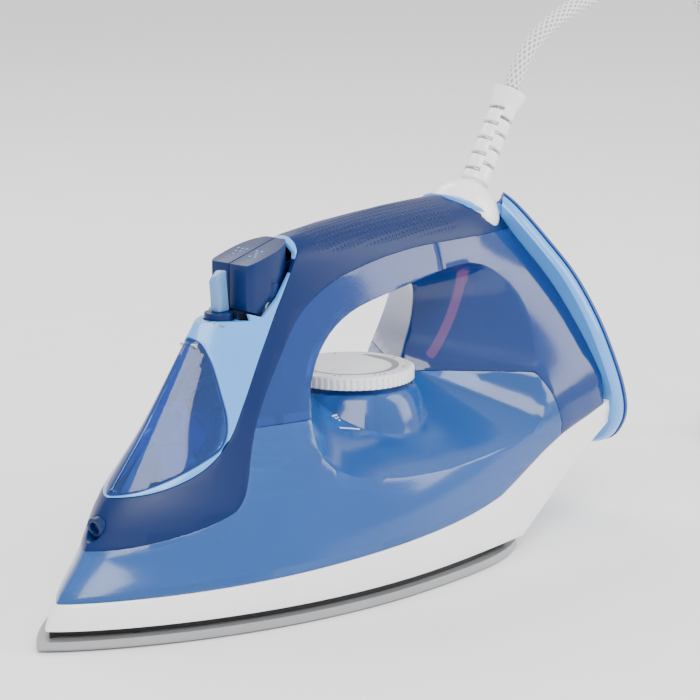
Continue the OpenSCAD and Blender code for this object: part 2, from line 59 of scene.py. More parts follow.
# %% Camera
target = Vector((28.243, 0, 85.59)) * MM
azimuth, elevation, distance = math.radians(-48.281), math.radians(12.544), 1.1
bpy.ops.object.camera_add()
camera = bpy.context.object
camera.location = target + distance * Vector((math.sin(azimuth) * math.cos(elevation),
                                              -math.cos(azimuth) * math.cos(elevation), math.sin(elevation)))
camera.rotation_euler = (target - camera.location).to_track_quat("-Z", "Y").to_euler()
camera.data.lens = 138.44
camera.data.sensor_width = 36
camera.data.clip_start = 0.05
bpy.context.scene.camera = camera

# %% [markdown]
# Every operator acts on what is selected, so each piece starts from nothing selected. These
# helpers keep that rule: one clears the selection, one picks a single piece, and one adds a
# modifier with its settings and applies it.


# %% Selection and modifiers
def deselect():
    if bpy.context.mode != "OBJECT":
        bpy.ops.object.mode_set(mode="OBJECT")
    bpy.ops.object.select_all(action="DESELECT")


def pick_only(piece):
    deselect()
    piece.select_set(True)
    bpy.context.view_layer.objects.active = piece


def apply_modifier(piece, kind, **settings):
    pick_only(piece)
    modifier = piece.modifiers.new(kind.title(), kind)
    for key, value in settings.items():
        setattr(modifier, key, value)
    bpy.ops.object.modifier_apply(modifier=modifier.name)
    return piece


# %% [markdown]
# Most of the iron's covers are smooth mouldings whose outline changes with height. Each is a
# loft: a filled circle is extruded once for every level, and then each vertex of that simple
# column is moved to its place on the real outline. The same helper makes turned parts and
# straight cutters, which are lofts with round or constant levels.


# %% Lofts
def loft(rings):
    """A closed solid through rings of equal length, each a list of (x, y, z) in millimetres."""
    deselect()
    count = len(rings[0])
    bpy.ops.mesh.primitive_circle_add(vertices=count, radius=1, fill_type="NGON")
    piece = bpy.context.object
    bpy.ops.object.mode_set(mode="EDIT")
    bpy.ops.mesh.select_all(action="SELECT")
    for _ in rings[1:]:
        bpy.ops.mesh.extrude_region_move(TRANSFORM_OT_translate={"value": (0, 0, 1)})
    bpy.ops.object.mode_set(mode="OBJECT")
    for vertex in piece.data.vertices:
        turn = math.atan2(-vertex.co.x, vertex.co.y) / (2 * math.pi)
        vertex.co = Vector(rings[round(vertex.co.z)][round(turn * count) % count]) * MM
    face_outwards(piece)
    return piece


def face_outwards(piece):
    pick_only(piece)
    bpy.ops.object.mode_set(mode="EDIT")
    bpy.ops.mesh.select_all(action="SELECT")
    bpy.ops.mesh.normals_make_consistent(inside=False)
    bpy.ops.object.mode_set(mode="OBJECT")


def side_prism(points, y0=-90.0, y1=90.0):
    """A side view, as (x, z) pairs, run through the iron's width."""
    return loft([[(x, y, z) for x, z in points] for y in (y0, y1)])


def leaning(place, lean):
    """A function that takes a turned part's own (x, y, z) to the iron, its axis leaning towards the heel."""
    c, s = math.cos(math.radians(lean)), math.sin(math.radians(lean))
    return lambda x, y, z: (place[0] + x * c + z * s, place[1] + y, place[2] - x * s + z * c)


def turned(profile, put, sides=72):
    """A solid of revolution from (radius, height) pairs, placed by put()."""
    angles = [2 * math.pi * i / sides for i in range(sides)]
    return loft([[put(r * math.cos(a), r * math.sin(a), z) for a in angles] for r, z in profile])


def block(low, high, put=lambda x, y, z: (x, y, z)):
    (x0, y0, z0), (x1, y1, z1) = low, high
    return loft([[put(x, y, z) for x, y in ((x0, y0), (x1, y0), (x1, y1), (x0, y1))] for z in (z0, z1)])


# %% [markdown]
# Covers meet along lines that cross the smooth form, so each cover is cut from the form with
# boolean modifiers. The cutters are thrown away once they have been used.


# %% Cutting and joining
def combine(piece, operation, *others):
    for other in others:
        apply_modifier(piece, "BOOLEAN", operation=operation, object=other, solver="MANIFOLD")
        bpy.data.objects.remove(other)
    return piece


def cut(piece, *cutters):
    return combine(piece, "DIFFERENCE", *cutters)


def keep(piece, *cutters):
    return combine(piece, "INTERSECT", *cutters)


def join(pieces):
    deselect()
    for piece in pieces:
        piece.select_set(True)
    bpy.context.view_layer.objects.active = pieces[0]
    bpy.ops.object.join()
    return bpy.context.object


def softened(piece, width, segments=2, angle=38):
    """Rounds the sharp edges, as a mould or a polishing wheel leaves them."""
    return apply_modifier(piece, "BEVEL", width=width * MM, segments=segments, limit_method="ANGLE",
                          angle_limit=math.radians(angle), miter_outer="MITER_ARC", use_clamp_overlap=True)


# %% [markdown]
# The outer form. Each table gives a height and the value there: how far forward the nose
# reaches, where the body is widest, how wide it is there and at the heel, and how blunt the nose
# is. A smooth curve through the table's points keeps the reflections free of creases.


# %% The iron's proportions
heel_x, heel_z, heel_k, band_t = 151.0, 30.0, math.tan(math.radians(18)), 9.0
grip_top, wall, gap = 143.0, 2.4, 0.3
dial_x, dial_z, lever_x, shelf_z, button_x, pump_y = 29.0, 74.0, -48.0, 112.0, -28.0, 7.0
tank_top, skirt_z, under_x, under_k = 72.0, 7.0, 76.0, 0.6
ball = (98.0, 0.0, 131.0)
ball_r, ball_lean, guard_lean, guard_l, cord_d = 17.0, 13.0, 33.0, 43.0, 7.4
front_levels = [(0, -145), (7, -140.5), (16, -135), (30, -122.5), (46, -113), (75, -88), (105, -65),
                (120, -53), (130, -43), (138.5, -12), (141, 15), (grip_top, 45)]
middle_levels = [(0, 12), (30, 20), (60, 45), (90, 60), (118, 65), (128, 86), (grip_top, 92)]
width_levels = [(0, 57.5), (16, 58), (30, 57.5), (45, 54.5), (60, 47), (75, 39), (90, 34), (105, 29),
                (118, 24), (128, 21), (135, 17), (140, 11), (grip_top, 2)]
heel_levels = [(0, 48), (30, 50), (46, 51.5), (52, 54), (60, 53.5), (73, 50), (88, 44), (105, 35),
               (124, 20), (136, 10.5), (grip_top, 2)]
bluntness_levels = [(0, 1.7), (30, 1.55), (60, 1.35), (110, 1.3), (130, 1.1), (grip_top, 1)]


def value_at(table, z):
    """The table's value at z, on a curve that never overshoots its neighbours."""
    z = min(max(z, table[0][0]), table[-1][0])
    i = max(k for k in range(len(table) - 1) if table[k][0] <= z)
    (z0, v0), (z1, v1) = table[i], table[i + 1]

    def slope(k):
        if k in (0, len(table) - 1):
            k = min(max(k, 1), len(table) - 1)
            return (table[k][1] - table[k - 1][1]) / (table[k][0] - table[k - 1][0])
        before = (table[k][1] - table[k - 1][1]) / (table[k][0] - table[k - 1][0])
        after = (table[k + 1][1] - table[k][1]) / (table[k + 1][0] - table[k][0])
        return 0 if before * after <= 0 else 2 * before * after / (before + after)

    t, h = (z - z0) / (z1 - z0), z1 - z0
    return ((2 * t**3 - 3 * t**2 + 1) * v0 + (t**3 - 2 * t**2 + t) * h * slope(i)
            + (3 * t**2 - 2 * t**3) * v1 + (t**3 - t**2) * h * slope(i + 1))


def heel_face_x(z):
    return heel_x - (z - heel_z) * heel_k


def half_width(x, z):
    front, middle = value_at(front_levels, z), value_at(middle_levels, z)
    width, rear = value_at(width_levels, z), heel_face_x(z) - band_t
    if x < middle:
        fall = 1 - ((middle - x) / (middle - front)) ** 2
        return width * max(0.0, fall) ** (value_at(bluntness_levels, z) / 2)
    s = min(1.0, max(0.0, (x - middle) / (rear - middle)))
    return width + (value_at(heel_levels, z) - width) * s * s * (3 - 2 * s)


def form(inset=0.0, points=40, z_steps=None):
    """The outer form, or the same form drawn in by inset for the inside of a cover."""
    levels = z_steps or [0, 3.5, 7, 11, 15, 19, 23, 27, 31, 35.5, 40, 45, 50, 55, 60, 65, 70, 75, 80, 85,
                         90, 95, 100, 105, 110, 114, 118, 121.5, 125, 128, 131, 133.5, 136, 138, 140,
                         141.3, 142.2, grip_top]
    rings = []
    for z in levels:
        front, rear = value_at(front_levels, z) + inset * 1.3, heel_face_x(z) + 20
        xs = [front + (rear - front) * (1 - math.cos(math.pi / 2 * i / points)) for i in range(points + 1)]
        ys = [max(half_width(x, z) - inset, 0.02) for x in xs]
        height = z - (inset * (z - 100) / 43 if z > 100 else 0)
        rings.append([(x, -y, height) for x, y in zip(xs, ys)]
                     + [(x, y, height) for x, y in zip(reversed(xs), reversed(ys))])
    return loft(rings)


# %% [markdown]
# The lines between the covers, drawn in side view. A Catmull-Rom curve goes through each of the
# few points, and a prism above or below such a line is what cuts one cover from the next.


# %% Lines between the covers
def smooth(points, steps=6):
    out = []
    for i in range(len(points) - 1):
        a, b = points[max(i - 1, 0)], points[i]
        c, d = points[i + 1], points[min(i + 2, len(points) - 1)]
        for k in range(steps):
            t = k / steps
            out.append(tuple(0.5 * (2 * q + (r - p) * t + (2 * p - 5 * q + 4 * r - s) * t * t
                                    + (3 * q - p - 3 * r + s) * t**3) for p, q, r, s in zip(a, b, c, d)))
    return out + [tuple(points[-1])]


skirt_line = smooth([(-150, 15), (-135, 16.2), (-80, 18), (-36, 20), (26, 23.6), (54, 27), (66, 30.5),
                     (96, 42), (131, 53.5), (170, 66)])
handle_line = smooth([(-150, 33), (-120, 33.6), (-100, 36.5), (-78, 42.5), (-68, 49), (-57, 66), (-45, 83),
                      (-33, 98), (-22, 110), (-8, 118.5), (8, 123.5), (34, 127.5), (64, 128.5), (130, 127)])
panel_line = smooth([(-130, 50), (-108, 51.5), (-93, 54), (-77, 60), (-64, 69), (-54, 81), (-42, 98),
                     (-30, 114), (-18, 129), (-12, 136), (-9, 150)])
door_line = smooth([(-130, 49.5), (-106, 52.5), (-93, 56), (-77, 62), (-67, 67), (-62, 75), (-61, 86),
                    (-61, 98), (-64, 106), (-78, 112)])


def above(line, dx=0.0, dz=0.0):
    points = [(x + dx, z + dz) for x, z in line]
    return side_prism(points + [(points[-1][0], 230), (points[0][0], 230)])


def below(line, dz=0.0):
    points = [(x, z + dz) for x, z in line]
    return side_prism(points + [(points[-1][0], -20), (points[0][0], -20)])


def ahead_of_heel(d):
    return side_prism([(-200, -20), (heel_face_x(-20) - d, -20), (heel_face_x(230) - d, 230), (-200, 230)])


def hand_opening(grow=0.0):
    side = smooth([(30, tank_top), (0, 73.5), (-5, 84), (0, 96), (12, 104), (34, 108), (57, 110.5), (67, 107),
                   (67, 95), (63, 84), (56, 74), (30, tank_top)], 5)[:-1]
    rings = []
    for y in (-56, -46, -36, -28, -20, -14, -9, -5, -2, 0, 2, 5, 9, 14, 20, 28, 36, 46, 56):
        k = 1 + 1.2 * abs(y) / 56
        rings.append([(31 + (x - 31) * k * (1 + grow / 34), y,
                       90 - (k - 1) * 5 + (z - 90) * k * (1 + grow / 17))
                      for x, z in side])
    return loft(rings)


# %% [markdown]
# Colours are written as they are seen on a screen, and one function turns them to the linear
# values that a shader wants. Another adds a node with its settings and links, so that a material
# reads from top to bottom as a list of steps.


# %% Colour and nodes
def linear(code):
    parts = [int(code[i:i + 2], 16) / 255 for i in (1, 3, 5)]
    return [c / 12.92 if c <= 0.04045 else ((c + 0.055) / 1.055) ** 2.4 for c in parts] + [1.0]


def add_node(material, kind, settings=None, links=None):
    node = material.node_tree.nodes.new("ShaderNode" + kind)
    for key, value in (settings or {}).items():
        if isinstance(key, int) or key in node.inputs:
            node.inputs[key].default_value = value
        else:
            setattr(node, key, value)
    for key, source in (links or {}).items():
        material.node_tree.links.new(source, node.inputs[key])
    return node


# %% [markdown]
# Moulded plastic, rubber and metal all vary a little: the colour drifts by a few per cent over
# some centimetres, and a fine grain breaks up the gloss. One recipe makes them all. Its grain is
# given in millimetres, and drawn no finer than half a millimetre so that it shows.


# %% A recipe for a finish
def finish_of(title, low, high, rough, grain, bump, slot, metallic=0.0, **sockets):
    material = bpy.data.materials.new(title)
    material.use_nodes = True
    shader = material.node_tree.nodes["Principled BSDF"]
    shader.inputs["Metallic"].default_value = metallic
    for key, value in sockets.items():
        shader.inputs[key.replace("_", " ")].default_value = value
    place = add_node(material, "TexCoord").outputs["Object"]
    drift = add_node(material, "TexNoise", {"Scale": 1 / (45 * MM), "Detail": 2.0}, {"Vector": place})
    grain_node = add_node(material, "TexNoise", {"Scale": 1 / (grain * MM), "Detail": 3.0}, {"Vector": place})
    mix = add_node(material, "Mix", {"data_type": "RGBA"}, {0: drift.outputs["Fac"]})
    mix.inputs[6].default_value, mix.inputs[7].default_value = linear(low), linear(high)
    gloss = add_node(material, "MapRange", {"To Min": rough * 0.8, "To Max": rough * 1.25},
                     {"Value": grain_node.outputs["Fac"]})
    relief = add_node(material, "Bump", {"Strength": 0.6, "Distance": bump * MM},
                      {"Height": grain_node.outputs["Fac"]})
    links = material.node_tree.links
    links.new(mix.outputs[2], shader.inputs["Base Color"])
    links.new(gloss.outputs["Result"], shader.inputs["Roughness"])
    links.new(relief.outputs["Normal"], shader.inputs["Normal"])
    return material, slot


def base_nodes(material):
    """The shader, and the sources of its colour and its relief, for a finish that adds a pattern."""
    shader = material.node_tree.nodes["Principled BSDF"]
    return shader, shader.inputs["Base Color"].links[0].from_socket, shader.inputs["Normal"].links[0].from_socket


# %% Finishes
white_abs = finish_of("white_abs_polished_moulding", "#ececec", "#f8f8f8", 0.24, 1.2, 0.004, "white_plastic",
                      Coat_Weight=0.3, Coat_Roughness=0.08)
grey_abs = finish_of("grey_abs_fine_texture", "#85888c", "#9a9da1", 0.5, 0.8, 0.02, "grey_plastic")
dark_blue_pp = finish_of("dark_blue_pp_satin_moulding", "#001a4c", "#002256", 0.34, 0.7, 0.006, "deep_blue",
                         Specular_IOR_Level=0.25)
light_blue_abs = finish_of("light_blue_abs_polished_moulding", "#4f93dc", "#5c9fe6", 0.24, 1.0, 0.004,
                           "light_blue",
                           Coat_Weight=0.3, Coat_Roughness=0.1)
tank_san = finish_of("tinted_san_tank_polished", "#2f6cc0", "#3b7acc", 0.14, 1.4, 0.004, "tank_blue",
                     Transmission_Weight=0.62, IOR=1.5)
housing_san = finish_of("tinted_san_housing_polished", "#17489c", "#2255a8", 0.12, 1.4, 0.004, "housing_blue",
                        Transmission_Weight=0.6, IOR=1.5)
door_san = finish_of("tinted_san_door_polished", "#2f6ecc", "#3a7ad4", 0.05, 1.4, 0.002, "door_blue",
                     Transmission_Weight=0.88, IOR=1.45, Specular_IOR_Level=0.3)
lever_san = finish_of("tinted_pc_lever_polished", "#5c8fcb", "#7fadde", 0.18, 1.0, 0.003, "lever_blue",
                      Transmission_Weight=0.3)
rim_pp = finish_of("mid_blue_pp_heel_rim", "#1f4488", "#264c92", 0.4, 0.8, 0.01, "lever_blue")
ceramic_plate = finish_of("ceramic_coated_aluminium", "#8f9092", "#a7a8aa", 0.3, 0.6, 0.006, "sole_metal",
                          metallic=0.55)
cast_aluminium = finish_of("as_cast_aluminium", "#8a8a8c", "#9d9da0", 0.5, 1.2, 0.03, "cast_alloy",
                           metallic=1.0)
satin_steel = finish_of("satin_stainless_steel", "#a4a5a8", "#b6b7ba", 0.3, 0.8, 0.004, "steel", metallic=1.0)
plated_brass = finish_of("plain_brass", "#b8964f", "#cfae66", 0.28, 0.8, 0.004, "brass", metallic=1.0)
silicone = finish_of("grey_silicone_seal", "#b9bcc0", "#cfd2d5", 0.55, 0.8, 0.01, "rubber_seal")
black_rubber = finish_of("black_silicone_gasket", "#1b1b1c", "#2a2a2b", 0.6, 0.8, 0.02, "gasket_black")
lead_pvc = finish_of("red_pvc_lead", "#9a2420", "#b3342d", 0.45, 0.9, 0.01, "lead_rubber")
print(len(bpy.data.materials), "materials so far")


# %% [markdown]
# The lamp shines along a clear guide, which glows red along its whole length. Emission does that
# without a light of its own.

# %% Glowing guide
lamp_glow = finish_of("lit_red_acrylic_guide", "#ff2410", "#ff4020", 0.2, 1.0, 0.003, "lamp_red", IOR=1.49)
shader, tint, _ = base_nodes(lamp_glow[0])
lamp_glow[0].node_tree.links.new(tint, shader.inputs["Emission Color"])
shader.inputs["Emission Strength"].default_value = 40.0

# %% [markdown]
# The grip is moulded with rows of small round dots so that a damp hand doesn't slip. The dots
# are 2.2 mm apart. They are drawn as relief, from the distance to the nearest dot's centre, and
# only on the top of the handle, where a mask lets them through.

# %% Dotted grip
grip_blue = finish_of("dark_blue_pp_dotted_grip", "#001a4c", "#002256", 0.36, 0.7, 0.006, "deep_blue",
                      Specular_IOR_Level=0.25)
material = grip_blue[0]
shader, tint, relief = base_nodes(material)
place = add_node(material, "TexCoord").outputs["Object"]
pitch = 2.2 * MM
scaled = add_node(material, "VectorMath", {"operation": "MULTIPLY", 1: (1 / pitch, 1 / pitch, 0)}, {0: place})
cell = add_node(material, "VectorMath", {"operation": "FRACTION"}, {0: scaled.outputs[0]})
centred = add_node(material, "VectorMath", {"operation": "SUBTRACT", 1: (0.5, 0.5, 0)}, {0: cell.outputs[0]})
reach = add_node(material, "VectorMath", {"operation": "LENGTH"}, {0: centred.outputs[0]})
dot = add_node(material, "MapRange", {"interpolation_type": "SMOOTHSTEP", "From Min": 0.38, "From Max": 0.18},
               {"Value": reach.outputs["Value"]})
split = add_node(material, "SeparateXYZ", {}, {0: place})
high = add_node(material, "MapRange", {"interpolation_type": "SMOOTHSTEP", "From Min": 131 * MM,
                                       "From Max": 134 * MM},
                {"Value": split.outputs["Z"]})
start = add_node(material, "MapRange", {"interpolation_type": "SMOOTHSTEP", "From Min": -8 * MM,
                                        "From Max": 4 * MM},
                 {"Value": split.outputs["X"]})
stop = add_node(material, "MapRange", {"interpolation_type": "SMOOTHSTEP", "From Min": 78 * MM,
                                       "From Max": 68 * MM},
                {"Value": split.outputs["X"]})
mask = add_node(material, "Math", {"operation": "MULTIPLY"}, {0: high.outputs[0], 1: start.outputs[0]})
mask = add_node(material, "Math", {"operation": "MULTIPLY"}, {0: mask.outputs[0], 1: stop.outputs[0]})
height = add_node(material, "Math", {"operation": "MULTIPLY"}, {0: mask.outputs[0], 1: dot.outputs[0]})
dots = add_node(material, "Bump", {"Strength": 0.9, "Distance": 0.5 * MM},
                {"Height": height.outputs[0], "Normal": relief})
material.node_tree.links.new(dots.outputs["Normal"], shader.inputs["Normal"])

# %% [markdown]
# The mains cord wears a braided cotton sleeve. Two sets of strands wind round it in opposite
# directions, so the pattern is made from two sine waves over the sleeve's own map: one
# coordinate runs round the cord and the other along it, a strand being about 1.1 mm wide.
# The grey between the strands is painted shade, where the strands shadow the gaps; the same
# pattern also gives the strands their relief.

# %% Braided sleeve
braid = finish_of("braided_cotton_sleeve", "#dcdcdc", "#f2f2f2", 0.85, 0.6, 0.02, "cord_fabric",
                  Sheen_Weight=0.3,
                  Sheen_Roughness=0.5)
material = braid[0]
shader, tint, relief = base_nodes(material)
uv = add_node(material, "UVMap", {"uv_map": "Sleeve"}).outputs["UV"]
split = add_node(material, "SeparateXYZ", {}, {0: uv})
strands = []
for sign in (1, -1):
    slope = add_node(material, "Math", {"operation": "MULTIPLY", 1: sign * 2 * math.pi / 4.6},
                     {0: split.outputs["Y"]})
    round_it = add_node(material, "Math", {"operation": "MULTIPLY_ADD", 1: 10 * 2 * math.pi},
                        {0: split.outputs["X"], 2: slope.outputs[0]})
    strands.append(add_node(material, "Math", {"operation": "SINE"}, {0: round_it.outputs[0]}).outputs[0])
over = add_node(material, "Math", {"operation": "MAXIMUM"}, {0: strands[0], 1: strands[1]})
weave = add_node(material, "MapRange", {"From Min": -0.4, "From Max": 0.9, "To Min": 0.0, "To Max": 1.0},
                 {"Value": over.outputs[0]})
# Painted shade: the gaps between the strands are coloured grey, as if in shadow.
painted_gap_shade = add_node(material, "Mix", {"data_type": "RGBA"}, {0: weave.outputs[0], 7: tint})
painted_gap_shade.inputs[6].default_value = linear("#9d9fa3")
bumps = add_node(material, "Bump", {"Strength": 0.8, "Distance": 0.35 * MM},
                 {"Height": weave.outputs[0], "Normal": relief})
material.node_tree.links.new(painted_gap_shade.outputs[2], shader.inputs["Base Color"])
material.node_tree.links.new(bumps.outputs["Normal"], shader.inputs["Normal"])


# %% [markdown]
# When a piece is ready it gets its name, its finish and its smooth shading, the nodes of the
# frame that it stands for are hidden, and it is set to ride on its body.


# %% Handing a piece over
def hand_over(piece, name, finish, nodes, body="root", angle=32):
    piece.name = name
    piece.data.name = name
    piece.data.materials.clear()
    piece.data.materials.append(finish[0])
    pick_only(piece)
    bpy.ops.object.shade_smooth_by_angle(angle=math.radians(angle))
    if nodes:
        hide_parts(*nodes)
    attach(piece, body)
    print(name, len(piece.data.polygons), "faces")
    return piece


# %% [markdown]
# The cord is one round tube along its real route: straight out of the guard, over in a stiff
# arch, down to the table, and then six and a half turns of a neat coil, wound as a person winds
# them: two turns in the upper layer, three in the lower, and one more on top. The tube is built
# from rings along that route, with the sleeve's own map on it.


# %% Cord
def tube_mesh(path, radius, sides=14):
    verts, faces, sleeve = [], [], []
    run = 0.0
    normal = Vector((0, 1, 0))
    for i, point in enumerate(path):
        ahead = (path[min(i + 1, len(path) - 1)] - path[max(i - 1, 0)]).normalized()
        normal = (normal - ahead * normal.dot(ahead)).normalized()
        other = ahead.cross(normal)
        run += (point - path[i - 1]).length if i else 0.0
        for k in range(sides):
            a = 2 * math.pi * k / sides
            verts.append(point + radius * (math.cos(a) * normal + math.sin(a) * other))
        if i:
            for k in range(sides):
                n = (k + 1) % sides
                faces.append(((i - 1) * sides + k, (i - 1) * sides + n, i * sides + n, i * sides + k))
                before = run - (point - path[i - 1]).length
                sleeve.append([(k / sides, before / MM), ((k + 1) / sides, before / MM),
                               ((k + 1) / sides, run / MM), (k / sides, run / MM)])
    last = (len(path) - 1) * sides
    faces += [tuple(range(sides - 1, -1, -1)), tuple(range(last, last + sides))]
    sleeve += [[(0, 0)] * sides, [(0, 0)] * sides]
    mesh = bpy.data.meshes.new("tube")
    mesh.from_pydata([tuple(v) for v in verts], [], faces)
    layer = mesh.uv_layers.new(name="Sleeve")
    for corner, place_on_sleeve in zip(layer.data, [c for f in sleeve for c in f]):
        corner.uv = place_on_sleeve
    piece = bpy.data.objects.new("tube", mesh)
    bpy.context.scene.collection.objects.link(piece)
    return piece


route = [(131.9, 183.2), (137.1, 191.2), (143.5, 198.7), (152, 205), (162, 210.2), (174, 214.8), (188, 219),
         (204, 223), (222, 226), (240, 227), (256, 223.5), (270, 215), (281, 202), (289, 186), (293, 168),
         (294.5, 146), (294.5, 120), (294.5, 94), (294.5, 68), (295, 50), (298.5, 34), (306, 21.5),
         (315.5, 14)]
coil = (326.5, -40.0)
low_layer, high_layer = 0.2 + cord_d / 2, 0.2 + cord_d / 2 + cord_d * 0.87 + 1.2
# Turns wound so far, radius and height there. Each change of row or layer takes a quarter turn.
winding = [(0, 40, high_layer), (0.8, 40, high_layer), (1.05, 32.4, high_layer), (1.85, 32.4, high_layer),
           (2.1, 32.4, low_layer), (2.85, 32.4, low_layer), (3.1, 40, low_layer), (3.85, 40, low_layer),
           (4.1, 47.6, low_layer), (4.85, 47.6, low_layer), (5.1, 47.6, high_layer), (6.05, 47.6, high_layer),
           (6.3, 43.5, 24), (6.5, 40, 32.04)]
points = [Vector((x, 0, z)) for x, z in smooth(route, 5)][:-1]
steps = 60
for n in range(round(winding[-1][0] * steps) + 1):
    turns = n / steps
    i = max(k for k in range(len(winding) - 1) if winding[k][0] <= turns)
    t = (turns - winding[i][0]) / (winding[i + 1][0] - winding[i][0])
    t = t * t * (3 - 2 * t)
    r = winding[i][1] + (winding[i + 1][1] - winding[i][1]) * t
    z = winding[i][2] + (winding[i + 1][2] - winding[i][2]) * t
    a = math.pi / 2 - 2 * math.pi * turns
    points.append(Vector((coil[0] + r * math.cos(a), coil[1] + r * math.sin(a), z)))
for _ in range(2):
    points = [points[0]] + [(a + 2 * b + c) / 4 for a, b, c in zip(points, points[1:],
            points[2:])] + [points[-1]]
cord_path = [p * MM for p in points]
cord = tube_mesh(cord_path, cord_d / 2 * MM)
hand_over(cord, "braided_cord", braid, ["cord", "cord_coil"], angle=60)

# %% [markdown]
# Where the cord leaves the ball, a short length of the same sleeve swivels with the ball, and
# the rest lies free. The coil's tie is a flat rubber loop, and the plug is a round moulded body
# with a ribbed sleeve and two brass pins.

# %% Cord end inside the guard, tie and plug
on_ball = leaning(ball, guard_lean)
mouth = ball_r + 0.4 + guard_l
neck_path = [Vector(on_ball(0, 0, mouth - 12 + i * 1.5)) * MM for i in range(10)]
neck = tube_mesh(neck_path, cord_d / 2 * MM)
hand_over(neck, "braided_cord_neck", braid, ["cord_neck"], body="swivel", angle=60)

low, high = [Vector(c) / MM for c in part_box("cord_tie")]
tie = cut(block(low, high), block((low.x + 1.3, low.y - 1, low.z + 1.3),
                                  (high.x - 1.3, high.y + 1, high.z - 1.3)))
tie = hand_over(softened(tie, 0.5), "cord_tie_loop", silicone, ["cord_tie"])

low, high = [Vector(c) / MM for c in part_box("plug_body")]
plug_centre = ((low.y + high.y) / 2, (low.z + high.z) / 2)
along_plug = lambda x, y, z: (high.x - z, plug_centre[0] + y, plug_centre[1] + x)
plug = turned([(4.6, 0), (5.6, 0.6), (6.2, 13), (7.6, 16), (9.6, 22), (13.5, 30), (16.6, 36), (17.6, 39),
               (18, 42),
               (18, 54), (17.2, 55.6), (15.4, 56)], along_plug)
plug = cut(plug, turned([(cord_d / 2 + 0.25, -1), (cord_d / 2 + 0.25, 3.2)], along_plug, 40))
grooves = []
for i in range(4):
    ring = turned([(8, 3 + i * 2.6), (8, 4 + i * 2.6)], along_plug, 48)
    grooves.append(cut(ring, turned([(5.4, 2 + i * 2.6), (5.4, 6 + i * 2.6)], along_plug, 48)))
plug = cut(plug, *grooves)
plug = hand_over(softened(plug, 0.3), "plug_moulded_body", white_abs, ["plug_body"])

pins = []
for s in (-1, 1):
    put = lambda x, y, z: (low.x + 1 - z, plug_centre[0] + s * 9.5 + y, plug_centre[1] + x)
    pins.append(turned([(2.4, 0), (2.4, 17.6), (2.1, 19.2), (1.4, 20)], put, 32))
pins = hand_over(join(pins), "plug_pins_round", plated_brass, ["plug_pins"])

# %% [markdown]
# The ironing face is an aluminium plate with a ceramic coating, polished round its edge, with
# steam outlets in two rows and a cluster at the tip. Its outline is a few formulas: pointed in
# front and rounded behind. The outlets are countersunk, so that cloth doesn't catch on them.


# %% Soleplate
def sole_half(s):
    return 59.5 * ((1 - ((0.65 - s) / 0.65) ** 2) ** 0.85 if s < 0.65 else max(0,
            1 - ((s - 0.65) / 0.35) ** 3) ** (1 / 3))


def sole_outline(inset=0.0, n=70):
    s = [(1 - math.cos(math.pi * i / n)) / 2 for i in range(n + 1)]
    right = [(-145 + 1.6 * inset + v * (242 - 2.4 * inset), max(sole_half(v) - inset, 0.3)) for v in s]
    return right + [(x, -y) for x, y in reversed(right)]


def plate(inset, z0, z1, chamfer=0.0):
    levels = [(inset + chamfer, z0), (inset + chamfer * 0.3, z0 + chamfer * 0.3), (inset, z0 + chamfer),
              (inset, z1)]
    return loft([[(x, y, z) for x, y in sole_outline(i)] for i, z in (levels if chamfer else levels[2:])])


sole = plate(0, 0, 4, 1.2)
outlets = [(-112 + i * 17, s * sole_half((33 + i * 17) / 242) * 0.68) for i in range(10) for s in (-1, 1)]
outlets += [(-122, 0), (-108, 0), (-94, 0)]
holes = join([turned([(2.4, -0.2), (1.5, 0.9), (1.5, 5)], leaning((x, y, 0), 0), 20) for x, y in outlets])
sole = cut(sole, holes)
hand_over(sole, "soleplate_ceramic", ceramic_plate, ["soleplate"])

# %% [markdown]
# The white skirt is a thin moulding round the base. It is cut from the outer form by the line
# that it shares with the tank, and hollowed from below by the same form drawn in by the wall.
# Its underside rises towards the heel so that the iron can be tipped back.

# %% Skirt
skirt = keep(form(), below(skirt_line, -0.15), ahead_of_heel(band_t + gap),
             side_prism([(-200, skirt_z), (under_x, skirt_z), (260, skirt_z + (260 - under_x) * under_k),
                         (260, 230), (-200, 230)]))
room = keep(form(wall), ahead_of_heel(band_t + gap + wall),
            side_prism([(-200, -20), (under_x - wall, -20), (under_x - wall, skirt_z + wall * 0.7),
                        (260, skirt_z + wall * 1.2 + (260 - under_x) * under_k), (260, 230), (-200, 230)]))
skirt = softened(cut(skirt, room), 0.7)
hand_over(skirt, "skirt_white", white_abs, ["skirt"])

# %% [markdown]
# The water tank is moulded in tinted, see-through plastic, and so is the housing behind it. Both
# are hollow shells: light goes through two walls, which is what gives them their depth. The
# tank's roof carries the dial's pedestal, and the hand opening is cut through everything.

# %% Water tank
tank_side = [(-200, 0), (106, 0), (104, 40), (99, 62), (93, tank_top), (-200, tank_top)]
tank = keep(form(), above(skirt_line, 0, 0.15), below(handle_line, -0.15), side_prism(tank_side))
tank = cut(tank, hand_opening())
pedestal = turned([(33, 50), (31.5, 60), (28.5, 68), (26.5, tank_top - 0.8), (25.6, tank_top)],
                  leaning((dial_x, 0, 0), 0), 96)
tank = combine(tank, "UNION", pedestal)
room = keep(form(wall), above(skirt_line, 0, 0.15 + wall), below(handle_line, -0.15 - wall),
            side_prism([(-200, 0), (106 - wall, 0), (102 - wall, 47.5), (-200, 47.5)]))
room = cut(room, turned([(10.5, 0), (10.5, 100)], leaning((dial_x, 0, 0), 0), 48), hand_opening(wall))
tank = cut(tank, room, turned([(8, 0), (8, 100)], leaning((dial_x, 0, 0), 0), 48),
           turned([(4, 0), (4, 100)], leaning((lever_x, 0, 0), 0), 32),
           turned([(7, 38), (7, 78)], leaning((-72, 0, 0), 0), 48))
tank = softened(tank, 0.6)
hand_over(tank, "water_tank_tinted", tank_san, ["water_tank"])


# %% [markdown]
# A short line on the tank's side shows how high the water may stand. It is printed on the real
# tank; here it is a row of thin white beads laid on the surface, with a small arrow above it.

